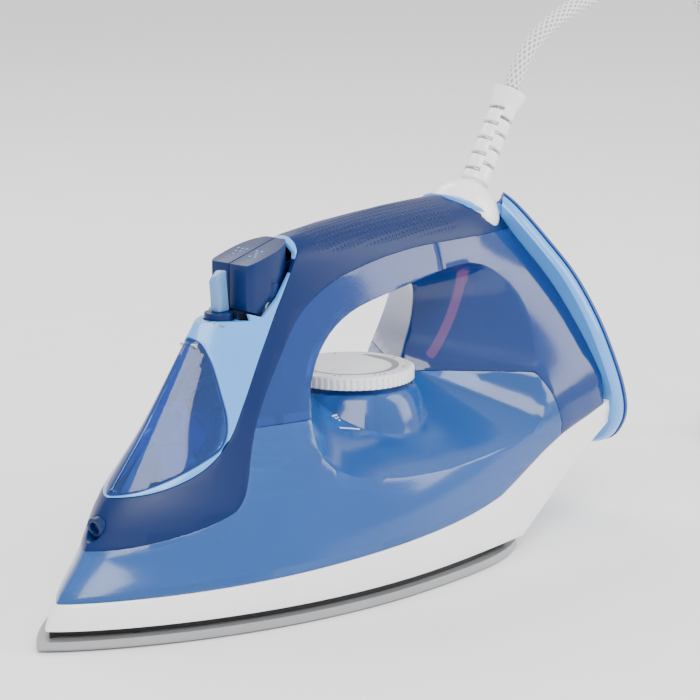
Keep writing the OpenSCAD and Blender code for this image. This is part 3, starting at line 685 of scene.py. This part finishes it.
# %% Water line
tank = bpy.data.objects["water_tank_tinted"]
line = []
for dx, dz in [(i * 0.8 - 4, -i * 0.16) for i in range(11)] + [(-1.4, 3.2), (-0.7, 3.2), (0, 3.2),
        (0.7, 3.2), (-1, 2.5), (0.4, 2.5), (-0.35, 1.8)]:
    hit, spot, normal, _ = tank.ray_cast(Vector((2.7 + dx, -90, 62 + dz)) * MM, Vector((0, 1, 0)))
    if hit:
        turn = normal.to_track_quat("Z", "Y").to_matrix()
        put = lambda x, y, z: tuple(spot / MM + turn @ Vector((x, y, z)))
        line.append(turned([(0.42, -0.3), (0.42, 0.05), (0.3, 0.09)], put, 10))
hand_over(join(line), "water_line_mark", white_abs, [])


# %% Rear housing and inner handle
def housing(d):
    piece = keep(form(d), above(skirt_line, 0, 0.15 + d), below(handle_line, -0.15 - d),
                 ahead_of_heel(band_t + gap + d))
    piece = cut(piece, side_prism([(x + gap + d, z + gap + d) for x, z in tank_side]),
                side_prism([(-200, 50), (58 + gap + d, 50), (58 + gap + d, 150), (-200, 150)]),
                hand_opening(d))
    return piece


def socket_space():
    collar = turned([(ball_r + 0.2, 4.2), (ball_r + 0.2, 34.2)], leaning(ball, ball_lean), 64)
    angles = [math.pi * i / 24 for i in range(25)]
    round_space = turned([(max((ball_r + 0.5) * math.sin(a), 0.05),
                           -(ball_r + 0.5) * math.cos(a)) for a in angles],
                         leaning(ball, 0), 64)
    return combine(collar, "UNION", round_space)


def inner_handle(d):
    piece = keep(form(d), below(handle_line, -0.15 - d),
                 side_prism([(-200, tank_top + gap + d), (10 - d, tank_top + gap + d), (10 - d, 98 + d),
                             (58 - d, 98 + d),
                             (58 - d, 150), (-200, 150)]))
    return cut(piece, hand_opening(d))


rear = cut(housing(0), housing(wall), socket_space())
passages = [turned([(5.8, tank_top + 3), (5.8, tank_top + 63)], leaning((button_x, s * pump_y, 0), 0),
                   40) for s in (-1, 1)]
inner = cut(inner_handle(0), inner_handle(wall), *passages,
            turned([(3.2, 60), (3.2, 100)], leaning((lever_x, 0, 0), 0), 32))
hand_over(softened(rear, 0.5), "rear_housing_tinted", housing_san, ["rear_housing"])
hand_over(softened(inner, 0.4), "handle_inner_tinted", housing_san, ["handle_inner"])

# %% [markdown]
# The handle's cover is a thin dark cap over the top, the neck and the nose. The light panel on
# its front holds the filling door, the keys and the lever's shelf. Both are the outer form with
# the drawn-in form taken out of it, cut along the lines between the covers.

# %% Handle cover and front panel
button_side = [(-42.4, 160), (-42.4, 113), (-37, 111.2), (-29, 117.4), (-18.8, 128), (-14.9, 133),
               (-14.9, 160)]
button_room = [(-42.6, 160), (-42.6, 109), (-36, 106), (-28, 113), (-12, 128), (-12, 160)]
recess = [(-80, shelf_z), (-42.2, shelf_z - 1.6), (-42.2, 160), (-80, 160)]
nozzle_at = leaning((-124, 0, 39.5), 80)
cap = keep(form(), above(handle_line), ahead_of_heel(band_t + gap))
cap = cut(cap, form(wall), above(panel_line), keep(form(1.2), side_prism(button_room)), socket_space(),
          turned([(4.2, 0), (4.2, 16)], nozzle_at, 40))
hand_over(softened(cap, 0.5), "handle_cover", grip_blue, ["handle_shell"])

panel = keep(form(), above(panel_line, 0, gap), above(handle_line))
panel = cut(panel, form(wall), above(door_line), side_prism(button_side), side_prism(recess),
            keep(form(1.2), side_prism(button_room)))
shelf = keep(form(0.4), side_prism([(-70, shelf_z - 3), (-43, shelf_z - 4.6), (-43, shelf_z - 1.8),
                                    (-70, shelf_z - 0.2)]))
shelf = cut(shelf, turned([(6, 60), (6, 160)], leaning((lever_x, 0, 0), 0), 48))
scoop_at = (-65.5, -half_width(-65.5, 66) - 6.3, 66)


def finger_scoop():
    return turned([(max(8.4 * math.sin(math.pi * i / 24), 0.05),
                    -8.4 * math.cos(math.pi * i / 24)) for i in range(25)],
                  leaning(scoop_at, 20), 64)


panel = join([softened(cut(panel, finger_scoop()), 0.5), softened(shelf, 0.3)])
hand_over(panel, "front_panel_light", light_blue_abs, ["front_panel"])

# %% [markdown]
# The filling door is a curved flap of tinted plastic with a fine ridge down its middle and a
# shallow dish at one side for a fingertip. The grey seal of the filler shows through it.

# %% Filling door
door_sides = [(-200, 0), (-30, 0), (-62.5, 104.6), (-200, 104.6)]
door = keep(form(0.2), above(door_line, -gap, gap), side_prism(door_sides))
door = cut(door, form(1.9))
ridge = keep(form(-0.5), above(door_line, -gap - 1, gap + 1),
             side_prism([(-200, 0), (-30, 0), (-63.4, 100), (-200, 100)]),
             block((-200, -0.7, 0), (0, 0.7, 200)))
ridge = cut(ridge, form(1.0))
door = combine(door, "UNION", ridge)
door = softened(cut(door, finger_scoop()), 0.4)
hand_over(door, "filling_door_tinted", door_san, ["filling_door"], body="door")

on_neck = leaning((-83, 0, 80), -50)
seal = cut(turned([(8, -11), (9, -10.6), (9.2, -9.6), (8.8, -8.9), (7.6, -8.9)], on_neck, 64),
           turned([(6.4, -12), (6.4, -8)], on_neck, 64))
hand_over(seal, "filler_seal_ring", silicone, ["door_seal"])

nozzle = turned([(4, 9), (4, 16.6), (3.4, 17.8), (1.6, 18)], nozzle_at, 48)
nozzle = cut(nozzle, turned([(2.4, 5), (2.4, 11)], nozzle_at, 32),
             turned([(0.5, 0), (0.5, 13), (1.1, 17.4), (1.3, 19)], nozzle_at, 24))
hand_over(softened(nozzle, 0.3), "spray_nozzle_turned", dark_blue_pp, ["spray_nozzle"])

# %% [markdown]
# Two keys sit side by side behind the lever. Each has a slightly domed top with one small mark:
# a group of dots for the spray, and a short wave of dots for the steam. The steam lever is a
# narrow tapered blade on a dark drum, and four beads in front of it show the amounts of steam.

# %% Keys
button_edge = [(-42, 131.5), (-42, 113.8), (-37, 112), (-29.5, 118), (-19.4, 128.2), (-15.6, 133),
               (-15.6, 138.2)]
button_plan = smooth([(-42, 9.2), (-41, 10), (-38, 10.8), (-28, 11), (-21, 9.4), (-17, 6.6), (-15.6, 4.8)], 4)
for side, name, body in ((1, "spray", "spray_key"), (-1, "steam", "steam_key")):
    outline = [(-42, 0.2)] + button_plan + [(-15.6, 0.2)]
    key = loft([[(x, side * y, z) for x, y in outline] for z in (100, 118, 126, 134, 150)])
    key = keep(key, side_prism(button_edge))
    stem = turned([(1.8, 94), (1.8, 124)], leaning((button_x, side * pump_y, 0), 0), 32)
    seat = turned([(4.6, 116), (4.6, 123)], leaning((button_x, side * pump_y, 0), 0), 32)
    key = combine(softened(key, 0.8, 3), "UNION", combine(seat, "UNION", stem))
    hand_over(key, name + "_key", dark_blue_pp, [name + "_button"], body=body)
    beads = []
    for i, (dx, dy) in enumerate([(0, 0), (2.6, 1.1), (2.6, -1.1), (5.2, 2.2), (5.2, 0),
                                  (5.2, -2.2)] if side > 0 else
                                 [(0, -1.2), (1.7, 0), (3.4, 1.2), (5.1, 0), (0, 1.6), (5.1, 2.6)]):
        x, y = -34 + dx, side * 5.2 + dy
        origin = Vector((x, y, 170)) * MM
        hit, spot, _, _ = key.ray_cast(origin, Vector((0, 0, -1)))
        if hit:
            beads.append(turned([(0.7, -0.4), (0.62, 0.12), (0.3, 0.28)], leaning(tuple(spot / MM), 0), 12))
    if beads:
        hand_over(join(beads), name + "_key_mark", lever_san, [], body=body)

# %% Lever, drum and the marks before it
drum = softened(turned([(5.6, shelf_z - 6), (5.6, shelf_z + 1.5)], leaning((lever_x, 0, 0), 0), 64), 0.5, 3)
hand_over(drum, "lever_drum_dark", dark_blue_pp, ["lever_drum"], body="lever")
foot = shelf_z + 1.5
lever = loft([[(lever_x + x, y, foot + z) for x, y in corners] for z, corners in (
    (0, [(-2.2, -2.4), (3.8, -2.4), (3.8, 2.4), (-2.2, 2.4)]),
    (5, [(-2.5, -2.2), (3.5, -2.2), (3.5, 2.2), (-2.5, 2.2)]),
    (12, [(-3.4, -2), (3, -2), (3, 2), (-3.4, 2)]), (13.4, [(-2.6, -1.9), (3, -1.9), (3, 1.9), (-2.6, 1.9)]),
    (15.9, [(0.4, -1.8), (3, -1.8), (3, 1.8), (0.4, 1.8)]))])
hand_over(softened(lever, 0.6, 3), "steam_lever_blade", lever_san, ["steam_lever"], body="lever")
marks = []
surface = bpy.data.objects["front_panel_light"]
for i in range(4):
    a = math.radians(168 + i * 22)
    x, y = lever_x + 8.6 * math.cos(a), 8.6 * math.sin(a)
    hit, spot, _, _ = surface.ray_cast(Vector((x, y, 118)) * MM, Vector((0, 0, -1)))
    size = 0.7 + 0.15 * i
    if hit:
        marks.append(turned([(size, -0.5), (size * 0.9, 0.1), (size * 0.5, 0.2)],
                            leaning(tuple(spot / MM), 0), 16))
hand_over(join(marks), "steam_amount_beads", grey_abs, [])

# %% [markdown]
# The temperature dial is a white disc with a knurled rim. A disc of 120 sides is made, every
# second side is selected and extruded outwards to make the ribs, and a rounded cap on its top
# and a ring at its foot are added; the grey scale plate lies on the cap. The scale is a crescent
# that grows with the heat.

# %% Dial
deselect()
bpy.ops.mesh.primitive_cylinder_add(vertices=120, radius=25 * MM, depth=4.4 * MM,
                                    location=Vector((dial_x, 0, dial_z + 2.6)) * MM)
dial = bpy.context.object
bpy.ops.object.transform_apply(location=True, rotation=True, scale=True)
bpy.ops.object.mode_set(mode="EDIT")
mesh = bmesh.from_edit_mesh(dial.data)
for face in mesh.faces:
    centre = face.calc_center_median() / MM
    turn = math.atan2(centre.y, centre.x - dial_x) / (2 * math.pi) * 120
    face.select_set(abs(face.normal.z) < 0.5 and math.floor(turn) % 2 == 0)
bmesh.update_edit_mesh(dial.data)
bpy.ops.mesh.extrude_faces_move(TRANSFORM_OT_shrink_fatten={"value": 0.85 * MM})
bpy.ops.object.mode_set(mode="OBJECT")
rim_top = turned([(25.2, dial_z + 4.2), (25.1, dial_z + 5), (24.4, dial_z + 5.4), (23.4, dial_z + 5.5)],
                 leaning((dial_x, 0, 0), 0), 120)
rim_foot = turned([(24.4, dial_z), (25.3, dial_z + 0.5)], leaning((dial_x, 0, 0), 0), 120)
dial = combine(dial, "UNION", rim_top, rim_foot)
dial = cut(dial, turned([(3, dial_z - 1), (3, dial_z + 3)], leaning((dial_x, 0, 0), 0), 48))
pointer = turned([(1.0, dial_z + 5.2), (0.9, dial_z + 5.65), (0.5, dial_z + 5.75)],
                 leaning((dial_x - 21.4, 0, 0), 0), 20)
dial = combine(dial, "UNION", pointer)
hand_over(softened(dial, 0.25), "temperature_dial_knurled", white_abs, ["temperature_dial"], body="dial")

outer_arc, inner_arc = [], []
for i in range(61):
    t = i / 60
    a = math.radians(26 - 238 * t)
    thick = 0.4 + 4.4 * math.sin(min(1, t * 7) * math.pi / 2) * (1 - t) ** 1.4
    outer_arc.append((dial_x + 19.6 * math.cos(a), 19.6 * math.sin(a)))
    inner_arc.append((dial_x + (19.6 - thick) * math.cos(a), (19.6 - thick) * math.sin(a)))
crescent = loft([[(x, y, z) for x, y in outer_arc + inner_arc[::-1]] for z in (dial_z + 5.3, dial_z + 5.62)])
dots = [turned([(0.55, dial_z + 5.3), (0.5, dial_z + 5.66)],
               leaning((dial_x + 21.8 * math.cos(math.radians(a)), 21.8 * math.sin(math.radians(a)), 0), 0),
               12)
        for a in (-12, -56, -62, -100, -106, -112, -150, -156, -200, 60)]
hand_over(join([crescent] + dots), "dial_scale", grey_abs, ["dial_plate"], body="dial")

# %% [markdown]
# The heel is a flat slanted face with a mid-blue rim, on which the iron stands when it is tipped
# back, and a light rounded band in front of it. Both follow one outline, half of which is given
# as distance from the middle and height.

# %% Heel
heel_half = smooth([(34, 0), (44, 3), (51, 9), (56, 18), (57, 30), (54.5, 46), (50, 62), (42, 79), (31, 93),
                    (18, 107), (8, 113.4), (3, 115)], 6)


def heel_ring(d, grow):
    """The heel's outline at depth d from its face, moved outwards by grow."""
    right = []
    for i, (y, h) in enumerate(heel_half):
        (y0, h0), (y1, h1) = heel_half[max(i - 1, 0)], heel_half[min(i + 1, len(heel_half) - 1)]
        size = math.hypot(y1 - y0, h1 - h0)
        right.append((y + grow * (h1 - h0) / size, h - grow * (y1 - y0) / size))
    right[0] = (right[0][0], right[0][1])
    both = right + [(-y, h) for y, h in reversed(right)]
    return [(heel_x - heel_k * h - d, y, heel_z + h) for y, h in both]


rim = loft([heel_ring(d, g) for d, g in ((0, -0.7), (0.3, -0.25), (0.8, 0), (2, 0))])
rim = cut(rim, loft([heel_ring(d, -3) for d in (-1, 3)]), socket_space())
hand_over(rim, "heel_rim_mid_blue", rim_pp, ["heel_rim"])
band = loft([heel_ring(d, g) for d, g in ((2, -1.3), (2.5, -0.6), (3.6, -0.1), (5.4, 0), (7.2, -0.25),
                                          (8.4, -0.7), (9, -1.3))])
band = cut(band, loft([heel_ring(d, -0.8 - wall) for d in (-1, band_t - wall)]), socket_space())
hand_over(band, "heel_band_light", light_blue_abs, ["heel_band"])
pad = loft([heel_ring(d, -3.02) for d in (0.4, 2)])
pad = cut(pad, socket_space())
inset_panel = loft([heel_ring(d, -9) for d in (-1, 1.1)])
pad = cut(pad, inset_panel)
hand_over(softened(pad, 0.3), "heel_pad_mid_blue", rim_pp, ["heel_pad"])

# %% [markdown]
# The cord comes out of a ball that tilts in a light collar. On the ball turns the guard, a soft
# sleeve that widens at its mouth. Rows of slots, each turned a quarter from the last, leave it
# only thin rings and bridges, so it bends with the cord instead of cracking it.

# %% Collar, ball and cord guard
on_collar = leaning(ball, ball_lean)
angles = [math.pi * i / 40 for i in range(41)]
sphere = turned([(max((ball_r + 0.06) * math.sin(a), 0.03), -(ball_r + 0.06) * math.cos(a)) for a in angles],
                on_ball, 96)
collar = turned([(ball_r, 4.4), (ball_r, 8.3), (ball_r - 0.3, 8.8), (ball_r - 0.9, 9)], on_collar, 96)
hand_over(keep(cut(collar, sphere), form(-0.9)), "cord_collar_light", light_blue_abs, ["cord_socket"])
sphere = turned([(max(ball_r * math.sin(a), 0.03), -ball_r * math.cos(a)) for a in angles], on_ball, 96)
sphere = cut(sphere, turned([(5.05, 12), (5.05, 32)], on_ball, 48), turned([(4, -20), (4, 15)], on_ball, 48))
hand_over(sphere, "cord_ball_white", white_abs, ["cord_ball"], body="swivel")

foot = ball_r + 0.4
outside = [(5, 12.1), (5, foot - 0.1), (6.5, foot + 0.1), (6.5, foot + 1.6), (6.1, foot + 3),
           (5.9, foot + 20), (5.8, foot + 33),
           (6.1, foot + 36.5), (6.9, foot + 39.5), (7.8, foot + 42), (7.9, foot + 42.7), (7.6, foot + 43)]
inside = [(cord_d / 2 + 0.6, 5), (cord_d / 2 + 0.6, foot + 37), (cord_d / 2 + 1.2, foot + 40),
          (6.6, foot + 43.3), (6.8, foot + 44)]
guard = cut(turned(outside, on_ball, 96), turned(inside, on_ball, 96))
slots = []
for i in range(9):
    for s in (0, 180):
        a = math.radians(i * 90 + s)
        turn = lambda x, y, z, a=a: on_ball(x * math.cos(a) - y * math.sin(a),
                                            x * math.sin(a) + y * math.cos(a), z)
        z = foot + 3.4 + i * 3.65
        slots.append(block((2, -4.3, z), (10, 4.3, z + 1.7), turn))
guard = cut(guard, *slots)
hand_over(softened(guard, 0.25), "cord_guard_slotted", white_abs, ["cord_guard"], body="guard")

# %% [markdown]
# The parts inside keep the frame's own shapes, because a mechanism is plain, and only get the
# finish of what they are made of: cast metal, steel, silicone and so on.

# %% Finishes for the inner parts
inner_finishes = {"sole_metal": ceramic_plate, "cast_alloy": cast_aluminium, "steel": satin_steel,
                  "gasket_black": black_rubber,
                  "white_plastic": white_abs, "grey_plastic": grey_abs, "tank_blue": tank_san,
                  "housing_blue": housing_san,
                  "deep_blue": dark_blue_pp, "light_blue": light_blue_abs, "door_blue": door_san,
                  "lever_blue": lever_san,
                  "rubber_seal": silicone, "brass": plated_brass, "lamp_red": lamp_glow,
                  "cord_fabric": silicone,
                  "lead_rubber": lead_pvc}
for subpart in frame["record"]["subparts"]:
    node = frame["nodes"][subpart["node"]]
    node.data.materials.clear()
    node.data.materials.append(inner_finishes[subpart["material_slot"]][0])

# %% [markdown]
# A plain pale table and soft light: a large lamp above and in front, a weaker one from the
# right, and a bright even surround, so that the gloss shows broad quiet highlights.

# %% Table and light
bpy.ops.mesh.primitive_plane_add(size=12, location=(0, 0, -0.0003))
table = bpy.context.object
table.name = "table"
bpy.ops.object.transform_apply(location=True)
pale, _ = finish_of("pale_laminate", "#f0f0f0", "#f6f6f6", 0.6, 2.0, 0.002, "white_plastic")
table.data.materials.append(pale)

world = bpy.data.worlds.new("soft_surround")
world.use_nodes = True
bpy.context.scene.world = world
world.node_tree.nodes["Background"].inputs["Color"].default_value = linear("#ffffff")
world.node_tree.nodes["Background"].inputs["Strength"].default_value = 1.25


def softbox(name, place, size, power):
    bpy.ops.object.light_add(type="AREA", location=place)
    lamp = bpy.context.object
    lamp.name = name
    lamp.data.shape = "RECTANGLE"
    lamp.data.size, lamp.data.size_y = size
    lamp.data.energy = power
    lamp.rotation_euler = (target - lamp.location).to_track_quat("-Z", "Y").to_euler()


softbox("key_softbox", (-0.7, -0.9, 1.3), (0.9, 0.9), 24)
softbox("right_softbox", (0.9, -0.8, 0.7), (0.5, 1.0), 10)
softbox("back_softbox", (0.2, 1.0, 1.2), (1.2, 0.5), 12)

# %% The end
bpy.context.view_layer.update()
deselect()
